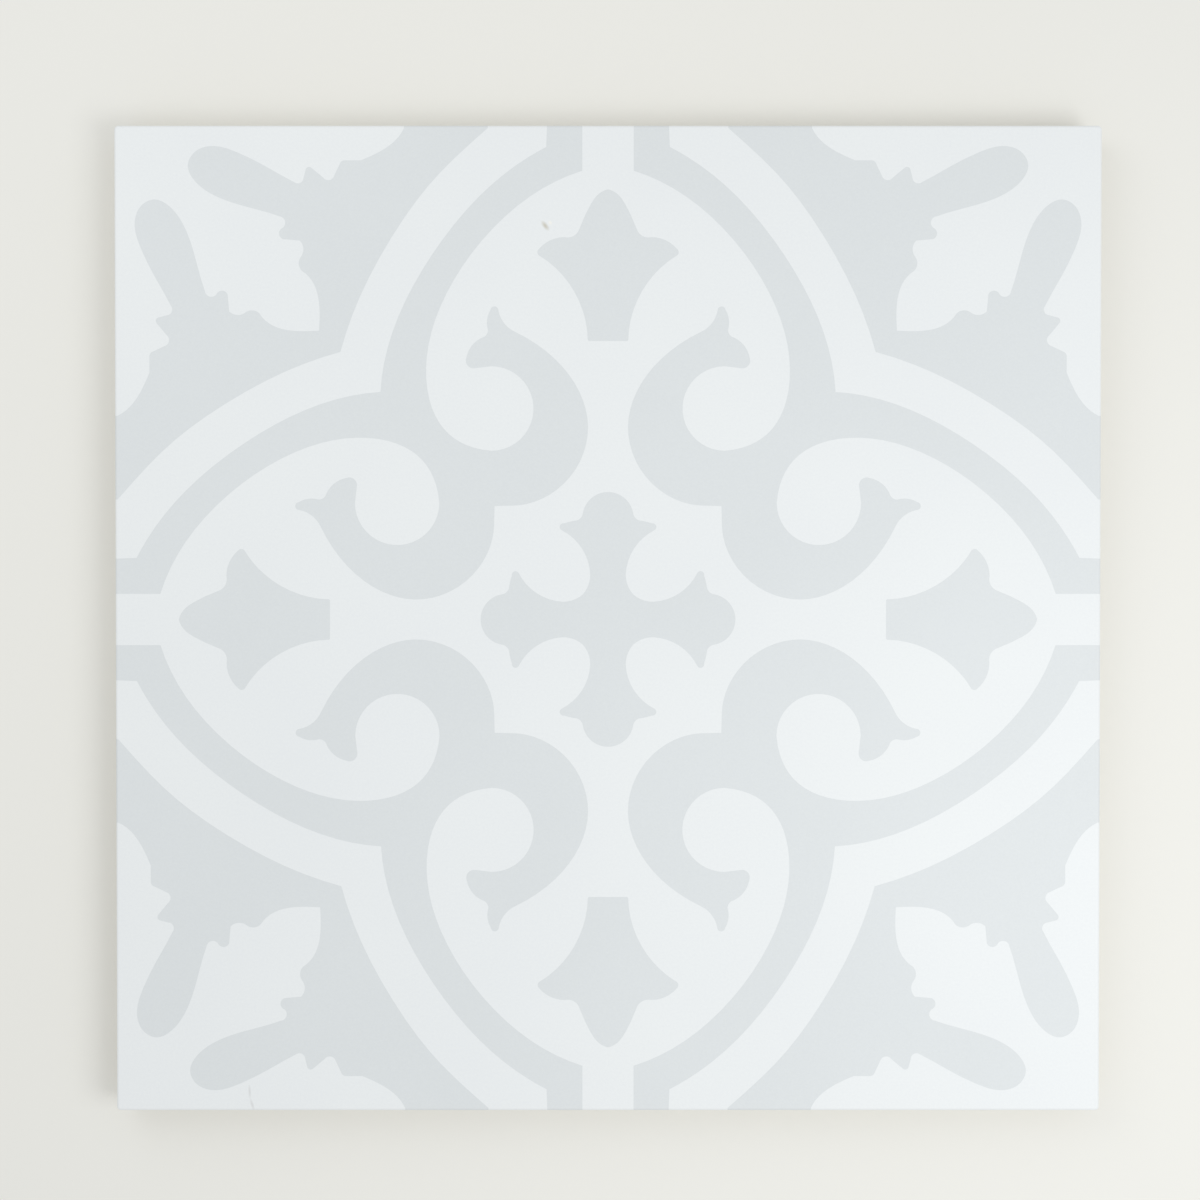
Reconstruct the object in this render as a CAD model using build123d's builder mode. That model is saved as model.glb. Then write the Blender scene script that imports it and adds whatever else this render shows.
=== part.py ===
from build123d import *
from build123d.topology import SkipClean
import os

os.makedirs("parts", exist_ok=True)

# Patterned floor tile, dry-pressed from porcelain in one piece, glazed and printed on its face.
# Sizes in millimetres. X and Y run along the sides, Z up from the ribs of the back to the face.

# The pressed body
side = 200.0
thickness = 9.0
corner_radius = 0.8  # upright corners, from the die
arris_radius = 0.6  # rounded arris where the face meets the sides
foot_chamfer = 0.6  # bevel where the sides meet the back

# The waffle of the back, which gives the adhesive its key
pockets_per_row = 14  # even, so two ribs cross at the middle of the back
border_width = 10.5  # plain land left along the sides
rib_width = 3.0
pocket_depth = 0.8
pocket_draft = 20.0  # degrees, so the die lets go

# The print
artwork_side = 200.0  # the outlines below are drawn for a tile of this side
overrun = 1.0  # areas that run off the tile are drawn this far past its edge


def area(*runs):
    """One printed area, bounded by runs that meet end to end.

    Two points make a straight run, three an arc, more a smooth curve through them all.
    """
    with BuildSketch() as shape:
        with BuildLine():
            for run in runs:
                if len(run) == 2:
                    Line(*run)
                elif len(run) == 3:
                    ThreePointArc(*run)
                else:
                    Spline(*run)
        make_face()
    return shape.sketch


edge = artwork_side / 2 + overrun

# The pattern mirrors in the middle lines and the diagonals, so one eighth of it is drawn:
# the wedge between the Y axis and the diagonal that rises to the right.
cross = area(
    [(0, 0), (0, 25.85)],
    [(0, 25.85), (3.6, 24.4), (5.1, 21.6)],
    [(5.1, 21.6), (5.5, 20.65), (6.3, 20.1)],
    [(6.3, 20.1), (7.7, 19.85), (8.9, 19.5)],
    [(8.9, 19.5), (9.8, 18.8), (9.4, 18.1)],
    [(9.4, 18.1), (5.1, 14.1), (3.6, 9.2)],
    [(3.6, 9.2), (3.9, 7.2), (5.1, 5.1)],
    [(5.1, 5.1), (0, 0)],
)

bell = area(
    [(0, 56.4), (3.9, 56.4)],
    [(3.9, 56.4), (4.1, 56.6)],
    [(4.1, 56.6), (5, 62.2), (8, 68.2), (14, 73.7)],
    [(14, 73.7), (14.3, 74.3), (14, 75)],
    [(14, 75), (11.6, 76.8), (8.8, 77.4)],
    [(8.8, 77.4), (6.8, 77.75), (6, 78.6)],
    [(6, 78.6), (5.35, 80.2), (3.8, 83.5), (1.8, 86.2), (0, 87.05)],
    [(0, 87.05), (0, 56.4)],
)

scroll_band = area(
    [(5.2, edge), (5.2, 90.8)],
    [(5.2, 90.8), (14.9, 86.2), (25.1, 77.2), (33.1, 65.2), (36.8, 52), (34.9, 41.1), (23.6, 34.2)],
    [(23.6, 34.2), (15.1, 42.7), (23.6, 51.3)],
    [(23.6, 51.3), (27, 50.9)],
    [(27, 50.9), (28.4, 51.4), (28.7, 53)],
    [(28.7, 53), (27.4, 55.7), (25, 57.3)],
    [(25, 57.3), (24.5, 57.9), (24.3, 58.6)],
    [(24.3, 58.6), (24.5, 60.6), (23.8, 62.7)],
    [(23.8, 62.7), (23, 63.4), (22.2, 62.6)],
    [(22.2, 62.6), (21.1, 60.1), (18.7, 58.2)],
    [(18.7, 58.2), (12, 53.9), (6.3, 47.1), (4.05, 39.4), (6.6, 30.4), (12, 25.2), (19, 23.1)],
    [(19, 23.1), (23, 23)],
    [(23, 23), (46.1, 46.1)],
    [(46.1, 46.1), (44.3, 56.2), (40.7, 65.2), (35.4, 74.2), (25.5, 86.2), (12.5, 95.6)],
    [(12.5, 95.6), (12.3, edge)],
    [(12.3, edge), (5.2, edge)],
)

corner_field = area(
    [(54.2, 54.2), (50.3, 65.2), (43.9, 77.2), (35.1, 89.2), (25.7, 98.2), (22.5, edge)],
    [(22.5, edge), (40.8, edge)],
    [(40.8, edge), (42.1, 98), (45.1, 95.3), (50, 92.9)],
    [(50, 92.9), (53.2, 92.9)],
    [(53.2, 92.9), (53.9, 92.7), (54.3, 92.1)],
    [(54.3, 92.1), (55.4, 89.8)],
    [(55.4, 89.8), (56.5, 88.9), (57.6, 89.4)],
    [(57.6, 89.4), (60, 91.4)],
    [(60, 91.4), (60.8, 91.5), (61.2, 90.9)],
    [(61.2, 90.9), (61.6, 89.4)],
    [(61.6, 89.4), (62.4, 88.3), (63.5, 88.5)],
    [
        (63.5, 88.5), (70.2, 92.2), (75.2, 94.6), (80, 95.8), (83.7, 94.5),
        (85, 92), (83.3, 88.4), (80.4, 86.2), (71.9, 83.2), (66.5, 81.6),
    ],
    [(66.5, 81.6), (65.4, 80.7), (65.8, 79.3)],
    [(65.8, 79.3), (66.5, 77.7), (65.8, 77)],
    [(65.8, 77), (62.4, 76.7)],
    [(62.4, 76.7), (61.7, 75.4), (62.2, 73.4)],
    [(62.2, 73.4), (62.6, 71.9), (62, 70.6)],
    [(62, 70.6), (59.7, 68.2), (58.4, 62.5), (58.5, 58.5)],
    [(58.5, 58.5), (54.2, 54.2)],
)

diagonal = Plane(origin=(0, 0, 0), z_dir=(1, -1, 0))
face_side = side - 2 * arris_radius

with BuildSketch() as quarter:
    add([cross, bell, scroll_band, corner_field])
    mirror(about=diagonal)

with BuildSketch(Plane.XY.offset(thickness)) as printed:
    with PolarLocations(0, 4):
        add(quarter.sketch)
    scale(by=side / artwork_side)
    Rectangle(face_side, face_side, mode=Mode.INTERSECT)

waffle_side = side - 2 * border_width
rib_spacing = (waffle_side + rib_width) / pockets_per_row
pocket_side = rib_spacing - rib_width

with BuildPart() as tile:
    with BuildSketch():
        RectangleRounded(side, side, corner_radius)
    extrude(amount=thickness)
    fillet(tile.faces().sort_by(Axis.Z)[-1].edges(), arris_radius)
    chamfer(tile.faces().sort_by(Axis.Z)[0].edges(), foot_chamfer)
    with BuildSketch():
        with GridLocations(rib_spacing, rib_spacing, pockets_per_row, pockets_per_row):
            Rectangle(pocket_side, pocket_side)
    extrude(amount=pocket_depth, taper=pocket_draft, mode=Mode.SUBTRACT)
    # The printed areas fill the face flush, so their outlines divide it without a step.
    with SkipClean():
        extrude(to_extrude=printed.sketch, amount=-arris_radius)

tile.part.label = "floor_tile"
export_step(tile.part, "parts/floor_tile.step")
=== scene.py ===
import math

import bmesh
import bpy
from mathutils import Euler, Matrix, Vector
from mathutils.geometry import intersect_point_line, intersect_point_tri_2d


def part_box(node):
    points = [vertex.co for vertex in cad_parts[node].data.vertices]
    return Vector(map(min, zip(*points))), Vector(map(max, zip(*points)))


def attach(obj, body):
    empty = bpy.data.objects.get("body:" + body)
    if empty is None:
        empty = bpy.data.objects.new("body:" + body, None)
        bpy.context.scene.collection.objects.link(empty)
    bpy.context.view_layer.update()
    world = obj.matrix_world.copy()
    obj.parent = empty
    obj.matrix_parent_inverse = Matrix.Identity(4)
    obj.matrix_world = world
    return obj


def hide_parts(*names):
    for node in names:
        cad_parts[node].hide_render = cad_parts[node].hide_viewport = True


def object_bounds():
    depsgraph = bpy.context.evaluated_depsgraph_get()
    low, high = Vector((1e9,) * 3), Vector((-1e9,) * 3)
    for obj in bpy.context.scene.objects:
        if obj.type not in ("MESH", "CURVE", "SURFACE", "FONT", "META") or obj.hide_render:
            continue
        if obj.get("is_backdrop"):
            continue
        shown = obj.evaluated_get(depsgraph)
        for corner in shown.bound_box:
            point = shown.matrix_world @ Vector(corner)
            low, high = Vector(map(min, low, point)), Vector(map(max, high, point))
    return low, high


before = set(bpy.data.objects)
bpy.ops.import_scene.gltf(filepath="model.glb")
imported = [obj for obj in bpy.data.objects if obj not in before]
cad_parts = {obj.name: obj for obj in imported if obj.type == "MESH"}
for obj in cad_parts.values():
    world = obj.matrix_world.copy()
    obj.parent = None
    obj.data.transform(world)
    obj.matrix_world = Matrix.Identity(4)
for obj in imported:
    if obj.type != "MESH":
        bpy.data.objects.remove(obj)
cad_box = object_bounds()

# Patterned floor tile: white matt glaze with a pale grey print on its face, bare porcelain elsewhere.
# It lies face up on the floor. Lengths are in metres, and MM turns millimetres into them.

MM = 0.001

tile_low, tile_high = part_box("floor_tile")
half_side = tile_high.x
face_height = tile_high.z

# Material slots of the tile
GLAZE, PRINT, BARE = 0, 1, 2

# A spot inside each printed motif, as shares of the half side from the tile's middle.
# The pattern repeats in quarter turns.
MOTIF_SPOTS = {
    "cross": (0.0, 0.0),
    "bell": (0.0, 0.70),
    "scroll_band": (0.34, 0.34),
    "corner_field": (0.563, 0.563),
}
QUARTER_TURNS = 4

# Marks on the white glaze, and one painted highlight, each one or more soft strokes: middle and size in
# millimetres from the middle of the face, and the angle in degrees that the stroke runs at
SCUFF_AND_PAINTED_HIGHLIGHT = (
    {"middle": (-12.7, 79.7), "size": (2.7, 1.2), "angle": -52, "colour": "CBC9BE"},
    # The second stroke is a painted highlight: a light spot where the scuff's raised edge catches the light
    {"middle": (-11.7, 80.3), "size": (1.2, 0.9), "angle": -52, "colour": "F1F1EB"},
)
HAIRLINE = (
    {"middle": (-72.9, -96.1), "size": (3.4, 0.7), "angle": -87, "colour": "D9DCDD"},
    {"middle": (-72.4, -98.7), "size": (3.0, 0.8), "angle": -73, "colour": "D9DCDD"},
)

SEAM = 0.001 * MM  # seams closer than this are merged
FLAT = 0.999  # triangles lie in one plane where their normals agree this well
UPRIGHT = 0.02  # a side's normal leans less than this from level
ARRIS_REACH = 1.0 * MM  # the rounded arris lies within this distance of the face

# Patches of the tile's baked picture, as shares of its width: the face is the largest
FACE_PATCH = 0.72
BACK_PATCH = 0.25
PATCH_GAP = 0.01
SIDE_STEP = 0.06  # from one side's strip to the next

# Colours of the finishes, as sRGB hex codes: a mottled one has a light and a dark shade
WHITE_SHADES = ("E9EDEE", "E6EAEC")
PRINT_SHADES = ("DBE0E2", "D8DDDF")
POWDER_SHADES = ("E6E1D6", "D2CCBF")
SPECK_COLOUR = "8C7B66"
WASH_COLOUR = "F0EEE8"
SPRAY_COLOUR = "E8ECED"

# Sizes of the finishes' patterns, in millimetres
WHITE_GRAIN = 0.5  # crystals of the glaze
PRINT_GRAIN = 0.4  # dots of ink
CLOUD = 45  # slow drift in the shade of the glaze
STIPPLE, STIPPLE_DEPTH = 0.7, 0.02  # unevenness of the glaze's skin
POWDER, POWDER_DEPTH = 1.4, 0.05  # grain of the pressed powder
SPECK_CELL = 7  # each cell of the body holds one dark speck
SPECK_RIM, SPECK_CORE = 0.35, 0.21  # a speck fades out between these distances from its middle
WASH_SMEAR, WASH_DEPTH = 3, 0.1  # kiln wash on the lowest faces
SPRAY_WAVE, SPRAY_DRIFT = 2.5, 2.5  # how far along and down the spray's lower edge is uneven
SPRAY_LOW, SPRAY_HIGH = -1.4, 0.4  # from the face: the spray, drift added, thins out between these

GLAZE_ROUGHNESS = (0.42, 0.54)  # least and most, by the stipple
BARE_ROUGHNESS = 0.82
SPRAY_ROUGHNESS = 0.5
CERAMIC_IOR = 1.5  # of glaze and of fired porcelain

# The colour sockets of a Mix node, which uses the same socket names for each kind of value
MIX_A, MIX_B, MIX_RESULT = 6, 7, 2


def linear(code):
    """A colour's sRGB hex code as linear red, green, blue and a full alpha."""
    shares = [int(code[i:i + 2], 16) / 255 for i in (0, 2, 4)]
    return [s / 12.92 if s <= 0.04045 else ((s + 0.055) / 1.055) ** 2.4 for s in shares] + [1.0]


def per_metre(size):
    """The scale that draws a pattern's features at a size given in millimetres."""
    return 1 / (size * MM)


def node(tree, kind, inputs, **settings):
    """Adds a node with its settings. Each input is a value, or the socket that it is linked to."""
    added = tree.nodes.new(kind)
    for name, value in settings.items():
        setattr(added, name, value)
    for name, value in inputs.items():
        if isinstance(value, bpy.types.NodeSocket):
            tree.links.new(value, added.inputs[name])
        else:
            added.inputs[name].default_value = value
    return added


def new_finish(name):
    """An empty material, with its node tree and the place on the object that its patterns start from."""
    finish = bpy.data.materials.new(name)
    finish.use_nodes = True
    tree = finish.node_tree
    tree.nodes.clear()
    return finish, tree, node(tree, "ShaderNodeTexCoord", {}).outputs["Object"]


def glazed_finish(name, shades, grain, strokes=()):
    """Matt glaze, sprayed on the pressed tile and fired to a dense skin full of fine crystals.

    The eye gets an even cool white with a broad dull sheen and no mirror image. The print's ink has
    sunk into the same skin, so only its colour and grain differ. The real grain, of crystals or ink
    dots, is about 0.1 mm and too fine to show, so it is drawn coarser, at a size in millimetres.
    """
    finish, tree, place = new_finish(name)
    light, dark = shades
    cloud = node(tree, "ShaderNodeTexNoise", {"Vector": place, "Scale": per_metre(CLOUD), "Detail": 2.0})
    fleck = node(tree, "ShaderNodeTexNoise", {"Vector": place, "Scale": per_metre(grain), "Detail": 1.0})
    both = node(tree, "ShaderNodeMath", {0: cloud.outputs["Fac"], 1: fleck.outputs["Fac"]}, operation="ADD")
    shade = node(
        tree, "ShaderNodeMapRange",
        {"Value": both.outputs["Value"], "From Min": 0.7, "From Max": 1.3},
    )
    colour = node(
        tree, "ShaderNodeMix",
        {0: shade.outputs["Result"], MIX_A: linear(dark), MIX_B: linear(light)}, data_type="RGBA",
    ).outputs[MIX_RESULT]
    # A stroke is full at its middle and fades towards its rim.
    for stroke in strokes:
        length, width = stroke["size"]
        across = node(
            tree, "ShaderNodeMapping",
            {
                "Vector": place,
                "Location": (stroke["middle"][0] * MM, stroke["middle"][1] * MM, face_height),
                "Rotation": (0, 0, math.radians(stroke["angle"])),
                "Scale": (length / 2 * MM, width / 2 * MM, 1),
            },
            vector_type="TEXTURE",
        )
        fade = node(
            tree, "ShaderNodeTexGradient",
            {"Vector": across.outputs["Vector"]}, gradient_type="SPHERICAL",
        )
        cover = node(tree, "ShaderNodeMapRange", {"Value": fade.outputs["Fac"], "From Max": 0.8})
        colour = node(
            tree, "ShaderNodeMix",
            {0: cover.outputs["Result"], MIX_A: colour, MIX_B: linear(stroke["colour"])}, data_type="RGBA",
        ).outputs[MIX_RESULT]
    stipple = node(tree, "ShaderNodeTexNoise", {"Vector": place, "Scale": per_metre(STIPPLE), "Detail": 2.0})
    smoothest, roughest = GLAZE_ROUGHNESS
    dull = node(
        tree, "ShaderNodeMapRange",
        {"Value": stipple.outputs["Fac"], "To Min": smoothest, "To Max": roughest},
    )
    skin = node(
        tree, "ShaderNodeBump",
        {"Height": stipple.outputs["Fac"], "Strength": 0.15, "Distance": STIPPLE_DEPTH * MM},
    )
    surface = node(
        tree, "ShaderNodeBsdfPrincipled",
        {
            "Base Color": colour, "Roughness": dull.outputs["Result"], "IOR": CERAMIC_IOR,
            "Normal": skin.outputs["Normal"],
        },
    )
    node(tree, "ShaderNodeOutputMaterial", {"Surface": surface.outputs["BSDF"]})
    return finish


def bare_finish():
    """Fired porcelain as it left the press, on the sides and the back.

    The eye gets a dry, warm off-white with the grain of the pressed powder and rare dark specks,
    thin white kiln wash on the ribs, and glaze spray that thins out down the sides.
    """
    finish, tree, place = new_finish("bare_pressed_porcelain")
    light, dark = POWDER_SHADES
    height = node(tree, "ShaderNodeSeparateXYZ", {"Vector": place}).outputs["Z"]
    powder = node(tree, "ShaderNodeTexNoise", {"Vector": place, "Scale": per_metre(POWDER), "Detail": 3.0})
    colour = node(
        tree, "ShaderNodeMix",
        {0: powder.outputs["Fac"], MIX_A: linear(dark), MIX_B: linear(light)}, data_type="RGBA",
    ).outputs[MIX_RESULT]
    # The distance to a speck's middle comes as a share of its cell.
    cells = node(tree, "ShaderNodeTexVoronoi", {"Vector": place, "Scale": per_metre(SPECK_CELL)})
    speck = node(
        tree, "ShaderNodeMapRange",
        {
            "Value": cells.outputs["Distance"],
            "From Min": SPECK_RIM / SPECK_CELL, "From Max": SPECK_CORE / SPECK_CELL, "To Max": 0.5,
        },
    )
    colour = node(
        tree, "ShaderNodeMix",
        {0: speck.outputs["Result"], MIX_A: colour, MIX_B: linear(SPECK_COLOUR)}, data_type="RGBA",
    ).outputs[MIX_RESULT]
    # Kiln wash lies on the lowest faces alone, drawn out the way that the rollers carried the tile.
    drawn_out = node(tree, "ShaderNodeMapping", {"Vector": place, "Scale": (0.3, 1, 1)})
    smear = node(
        tree, "ShaderNodeTexNoise",
        {"Vector": drawn_out.outputs["Vector"], "Scale": per_metre(WASH_SMEAR), "Detail": 4.0},
    )
    wash = node(
        tree, "ShaderNodeMapRange",
        {"Value": smear.outputs["Fac"], "From Min": 0.3, "From Max": 0.7, "To Max": 0.7},
    )
    lowest = node(
        tree, "ShaderNodeMapRange",
        {"Value": height, "From Min": WASH_DEPTH * MM, "From Max": 0.0},
    )
    washed = node(
        tree, "ShaderNodeMath",
        {0: wash.outputs["Result"], 1: lowest.outputs["Result"]}, operation="MULTIPLY",
    )
    colour = node(
        tree, "ShaderNodeMix",
        {0: washed.outputs["Value"], MIX_A: colour, MIX_B: linear(WASH_COLOUR)}, data_type="RGBA",
    ).outputs[MIX_RESULT]
    # Glaze spray reaches about 2 mm down the sides, with an uneven lower edge.
    drift = node(
        tree, "ShaderNodeTexNoise",
        {"Vector": place, "Scale": per_metre(SPRAY_WAVE), "Detail": 3.0},
    )
    reach = node(
        tree, "ShaderNodeMath",
        {0: drift.outputs["Fac"], 1: SPRAY_DRIFT * MM, 2: height}, operation="MULTIPLY_ADD",
    )
    spray = node(
        tree, "ShaderNodeMapRange",
        {
            "Value": reach.outputs["Value"],
            "From Min": face_height + SPRAY_LOW * MM, "From Max": face_height + SPRAY_HIGH * MM,
        },
    )
    colour = node(
        tree, "ShaderNodeMix",
        {0: spray.outputs["Result"], MIX_A: colour, MIX_B: linear(SPRAY_COLOUR)}, data_type="RGBA",
    ).outputs[MIX_RESULT]
    dry = node(
        tree, "ShaderNodeMapRange",
        {"Value": spray.outputs["Result"], "To Min": BARE_ROUGHNESS, "To Max": SPRAY_ROUGHNESS},
    )
    grain = node(
        tree, "ShaderNodeBump",
        {"Height": powder.outputs["Fac"], "Strength": 0.35, "Distance": POWDER_DEPTH * MM},
    )
    surface = node(
        tree, "ShaderNodeBsdfPrincipled",
        {
            "Base Color": colour, "Roughness": dry.outputs["Result"], "IOR": CERAMIC_IOR,
            "Normal": grain.outputs["Normal"],
        },
    )
    node(tree, "ShaderNodeOutputMaterial", {"Surface": surface.outputs["BSDF"]})
    return finish


def add_object(name, shell, finishes):
    """Turns a finished shell into an object of the scene."""
    mesh = bpy.data.meshes.new(name)
    shell.to_mesh(mesh)
    shell.free()
    for finish in finishes:
        mesh.materials.append(finish)
    added = bpy.data.objects.new(name, mesh)
    bpy.context.scene.collection.objects.link(added)
    return added


def joined_triangles(shell):
    """Groups of triangles joined edge to edge: before the seams are merged, each is one face of the part."""
    waiting = set(shell.faces)
    while waiting:
        group = [waiting.pop()]
        for triangle in group:
            beside = {other for edge in triangle.edges for other in edge.link_faces} & waiting
            waiting -= beside
            group.extend(beside)
        yield group


def printed_spots():
    """A spot in every printed motif, in all four turns."""
    turns = [Euler((0, 0, turn * math.tau / QUARTER_TURNS)).to_matrix() for turn in range(QUARTER_TURNS)]
    spots = [Vector((*spot, 0)) * half_side for spot in MOTIF_SPOTS.values()]
    return [(turn @ spot).to_2d() for spot in spots for turn in turns]


def holds(group, spots):
    """Whether one of the spots lies in the group of triangles, seen from above."""
    for triangle in group:
        corners = [vert.co.to_2d() for vert in triangle.verts]
        if any(intersect_point_tri_2d(spot, *corners) for spot in spots):
            return True
    return False


def finish_faces(shell):
    """Gives each face of the part its material, and smooth shading where it is rounded."""
    spots = printed_spots()
    for group in joined_triangles(shell):
        first = group[0].normal
        rounded = any(triangle.normal.dot(first) < FLAT for triangle in group)
        lowest = min(vert.co.z for triangle in group for vert in triangle.verts)
        if lowest > face_height - SEAM:
            slot = PRINT if holds(group, spots) else GLAZE
        elif all(triangle.normal.z > UPRIGHT for triangle in group):
            slot = GLAZE  # the rounded arris round the face
        else:
            slot = BARE
        for triangle in group:
            triangle.material_index = slot
            triangle.smooth = rounded


def arris_faces(shell):
    """The rounded arris round the face: glaze that drops below the plane of the face."""
    glazed = [face for face in shell.faces if face.material_index == GLAZE]
    return [face for face in glazed if min(vert.co.z for vert in face.verts) < face_height - SEAM]


def carry_print_over_arris(shell):
    """Prints the arris too where a motif runs off the tile, as far along as the motif reaches."""
    arris_edges = {edge for face in arris_faces(shell) for edge in face.edges}
    printed_edges = {edge for face in shell.faces if face.material_index == PRINT for edge in face.edges}
    # Edges, faces and corners are taken in the mesh's own order, so that every run cuts alike.
    shared = [edge for edge in shell.edges if edge in arris_edges and edge in printed_edges]
    stretches = [[vert.co.copy() for vert in edge.verts] for edge in shared]
    for start, end in stretches:
        for spot in (start, end):
            faces = arris_faces(shell)
            edges = dict.fromkeys(edge for face in faces for edge in face.edges)
            verts = dict.fromkeys(vert for face in faces for vert in face.verts)
            bmesh.ops.bisect_plane(
                shell, geom=[*faces, *edges, *verts], dist=SEAM, plane_co=spot, plane_no=end - start,
            )
    for face in arris_faces(shell):
        middle = face.calc_center_median()
        for start, end in stretches:
            nearest, share = intersect_point_line(middle, start, end)
            if 0 < share < 1 and (middle - nearest).length < ARRIS_REACH:
                face.material_index = PRINT
    bmesh.ops.triangulate(shell, faces=[face for face in shell.faces if len(face.verts) > 3])
    shell.normal_update()


def lay_out_picture(shell):
    """Lays the tile out flat for its baked picture: the face, the back, and the four sides as strips."""
    layer = shell.loops.layers.uv.new("OFBake")
    span = 2 * half_side
    past_face = FACE_PATCH + 2 * PATCH_GAP
    for triangle in shell.faces:
        facing = triangle.normal
        along_x = abs(facing.y) > abs(facing.x)
        outwards = facing.y if along_x else facing.x
        strip = 2 * along_x + (outwards > 0)
        for loop in triangle.loops:
            spot = loop.vert.co
            across = Vector((spot.x / span + 0.5, spot.y / span + 0.5))
            if facing.z > UPRIGHT:
                place = across * FACE_PATCH + Vector((PATCH_GAP, PATCH_GAP))
            elif facing.z < -UPRIGHT:
                place = across * BACK_PATCH + Vector((past_face, past_face))
            else:
                run = across.x if along_x else across.y
                rise = spot.z / span
                place = Vector((run, rise)) * FACE_PATCH + Vector((PATCH_GAP, past_face + strip * SIDE_STEP))
            loop[layer].uv = place


def make_tile(finishes):
    """The tile as the part has it, merged into one skin, with its finishes."""
    shell = bmesh.new()
    shell.from_mesh(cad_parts["floor_tile"].data)
    finish_faces(shell)
    bmesh.ops.remove_doubles(shell, verts=shell.verts, dist=SEAM)
    bmesh.ops.dissolve_degenerate(shell, edges=shell.edges, dist=SEAM)
    carry_print_over_arris(shell)
    lay_out_picture(shell)
    tile = add_object("glazed_tile", shell, finishes)
    # Normals stored for the unmerged triangles don't fit the merged skin.
    stored = tile.data.attributes.get("custom_normal")
    if stored:
        tile.data.attributes.remove(stored)
    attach(tile, "root")
    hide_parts("floor_tile")


# The floor and the light
FLOOR_COLOUR = "EBEBE6"
FLOOR_REACH = 3.0
FLOOR_LAP = 0.65 * MM  # how far the floor runs in under the tile, past the bevel of its foot
FLOOR_GAP = 0.01 * MM  # below the tile, so that the two don't share a plane
FADE_START, FADE_END = 0.19, 0.55  # the floor fades into the backdrop between these distances
ROOM_COLOUR, ROOM_LIGHT = "FFFFFF", 0.73
LAMPS = (  # name, place, side and power of each square lamp
    ("window", (0.23, -0.10, 0.37), 0.22, 0.55),
    ("far_wall", (-0.20, 0.20, 0.28), 0.25, 0.17),
)


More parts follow.
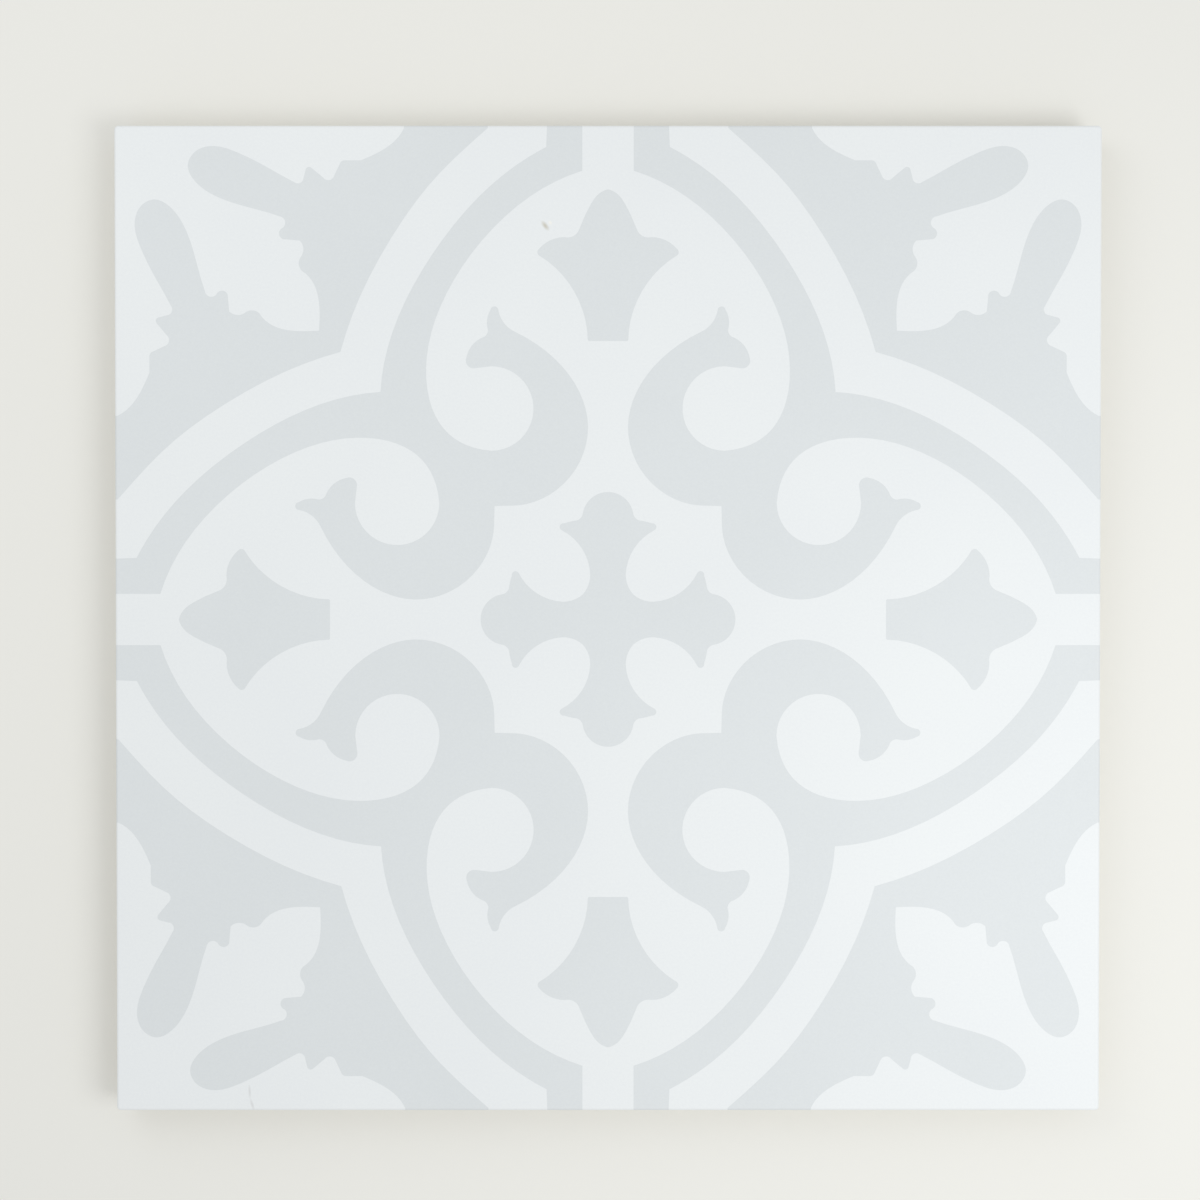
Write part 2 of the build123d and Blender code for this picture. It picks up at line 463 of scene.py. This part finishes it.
def make_floor():
    """A plain pale floor that fades into the backdrop.

    It is open under the tile and clear from below, so that the tile's back is lit and seen.
    """
    sheet = bmesh.new()
    bmesh.ops.create_grid(sheet, x_segments=1, y_segments=1, size=FLOOR_REACH)
    opening = sheet.faces[:]
    bmesh.ops.inset_region(
        sheet, faces=opening, thickness=FLOOR_REACH - half_side + FLOOR_LAP,
        use_boundary=True, use_even_offset=True,
    )
    bmesh.ops.delete(sheet, geom=opening, context="FACES_ONLY")
    bmesh.ops.translate(sheet, verts=sheet.verts, vec=(0, 0, tile_low.z - FLOOR_GAP))
    finish, tree, place = new_finish("plain_pale_floor")
    matt = node(tree, "ShaderNodeBsdfDiffuse", {"Color": linear(FLOOR_COLOUR)})
    clear = node(tree, "ShaderNodeBsdfTransparent", {})
    from_middle = node(tree, "ShaderNodeVectorMath", {0: place}, operation="LENGTH")
    faded = node(
        tree, "ShaderNodeMapRange",
        {"Value": from_middle.outputs["Value"], "From Min": FADE_START, "From Max": FADE_END},
        interpolation_type="SMOOTHSTEP",
    )
    from_below = node(tree, "ShaderNodeNewGeometry", {}).outputs["Backfacing"]
    unseen = node(tree, "ShaderNodeMath", {0: faded.outputs["Result"], 1: from_below}, operation="MAXIMUM")
    shown = node(
        tree, "ShaderNodeMixShader",
        {0: unseen.outputs["Value"], 1: matt.outputs["BSDF"], 2: clear.outputs["BSDF"]},
    )
    node(tree, "ShaderNodeOutputMaterial", {"Surface": shown.outputs["Shader"]})
    floor = add_object("floor", sheet, [finish])
    floor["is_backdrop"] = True


def light_scene():
    """Even room light, a broad soft lamp at the right as a window gives, and a weak one opposite."""
    world = bpy.data.worlds.new("room")
    bpy.context.scene.world = world
    world.use_nodes = True
    tree = world.node_tree
    tree.nodes.clear()
    room = node(tree, "ShaderNodeBackground", {"Color": linear(ROOM_COLOUR), "Strength": ROOM_LIGHT})
    backdrop = node(tree, "ShaderNodeBackground", {"Color": linear(FLOOR_COLOUR), "Strength": 1.0})
    ray = node(tree, "ShaderNodeLightPath", {}).outputs
    mirrored = node(
        tree, "ShaderNodeMath",
        {0: ray["Is Glossy Ray"], 1: ray["Is Transmission Ray"]}, operation="MAXIMUM",
    )
    seen = node(
        tree, "ShaderNodeMath",
        {0: ray["Is Camera Ray"], 1: mirrored.outputs["Value"]}, operation="MAXIMUM",
    )
    around = node(
        tree, "ShaderNodeMixShader",
        {0: seen.outputs["Value"], 1: room.outputs["Background"], 2: backdrop.outputs["Background"]},
    )
    node(tree, "ShaderNodeOutputWorld", {"Surface": around.outputs["Shader"]})
    for name, place, size, power in LAMPS:
        light = bpy.data.lights.new(name, "AREA")
        light.shape = "SQUARE"
        light.size = size
        light.energy = power
        lamp = bpy.data.objects.new(name, light)
        lamp.location = place
        lamp.rotation_euler = lamp.location.to_track_quat("Z", "Y").to_euler()  # shines at the tile
        lamp.visible_camera = False  # it stands close by, so some views would show it
        bpy.context.scene.collection.objects.link(lamp)


# The photograph's frame in its pixels, and where the tile lies in it
FRAME_SIDE = 1200
TILE_LEFT, TILE_RIGHT = 115, 1101
TILE_TOP, TILE_BOTTOM = 127, 1112
LENS, SENSOR = 50, 36
CAMERA_LEAN = math.radians(0.6)  # out of plumb, so that the far edge looks a little longer


def place_camera():
    """Looks straight down but for a slight lean, with the tile as large as the photograph's frame has it."""
    pixel = 2 * half_side / (TILE_RIGHT - TILE_LEFT)
    aim = Vector((
        (FRAME_SIDE - TILE_LEFT - TILE_RIGHT) / 2 * pixel,
        (TILE_TOP + TILE_BOTTOM - FRAME_SIDE) / 2 * pixel,
        face_height,
    ))
    lean = Euler((-CAMERA_LEAN, 0, 0))
    distance = FRAME_SIDE * pixel * LENS / SENSOR
    view = bpy.data.cameras.new("camera")
    view.lens = LENS
    view.sensor_width = SENSOR
    camera = bpy.data.objects.new("camera", view)
    camera.location = aim + lean.to_matrix() @ Vector((0, 0, distance))
    camera.rotation_euler = lean
    bpy.context.scene.collection.objects.link(camera)
    bpy.context.scene.camera = camera


white_glaze = glazed_finish("matt_white_glaze", WHITE_SHADES, WHITE_GRAIN, SCUFF_AND_PAINTED_HIGHLIGHT + HAIRLINE)
grey_print = glazed_finish("pale_grey_print_in_glaze", PRINT_SHADES, PRINT_GRAIN)
make_tile([white_glaze, grey_print, bare_finish()])
make_floor()
light_scene()
place_camera()

bpy.context.scene.view_settings.view_transform = "Standard"

boxes = {"cad": cad_box, "visual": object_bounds()}
{name: [list(corner) for corner in box] for name, box in boxes.items()}
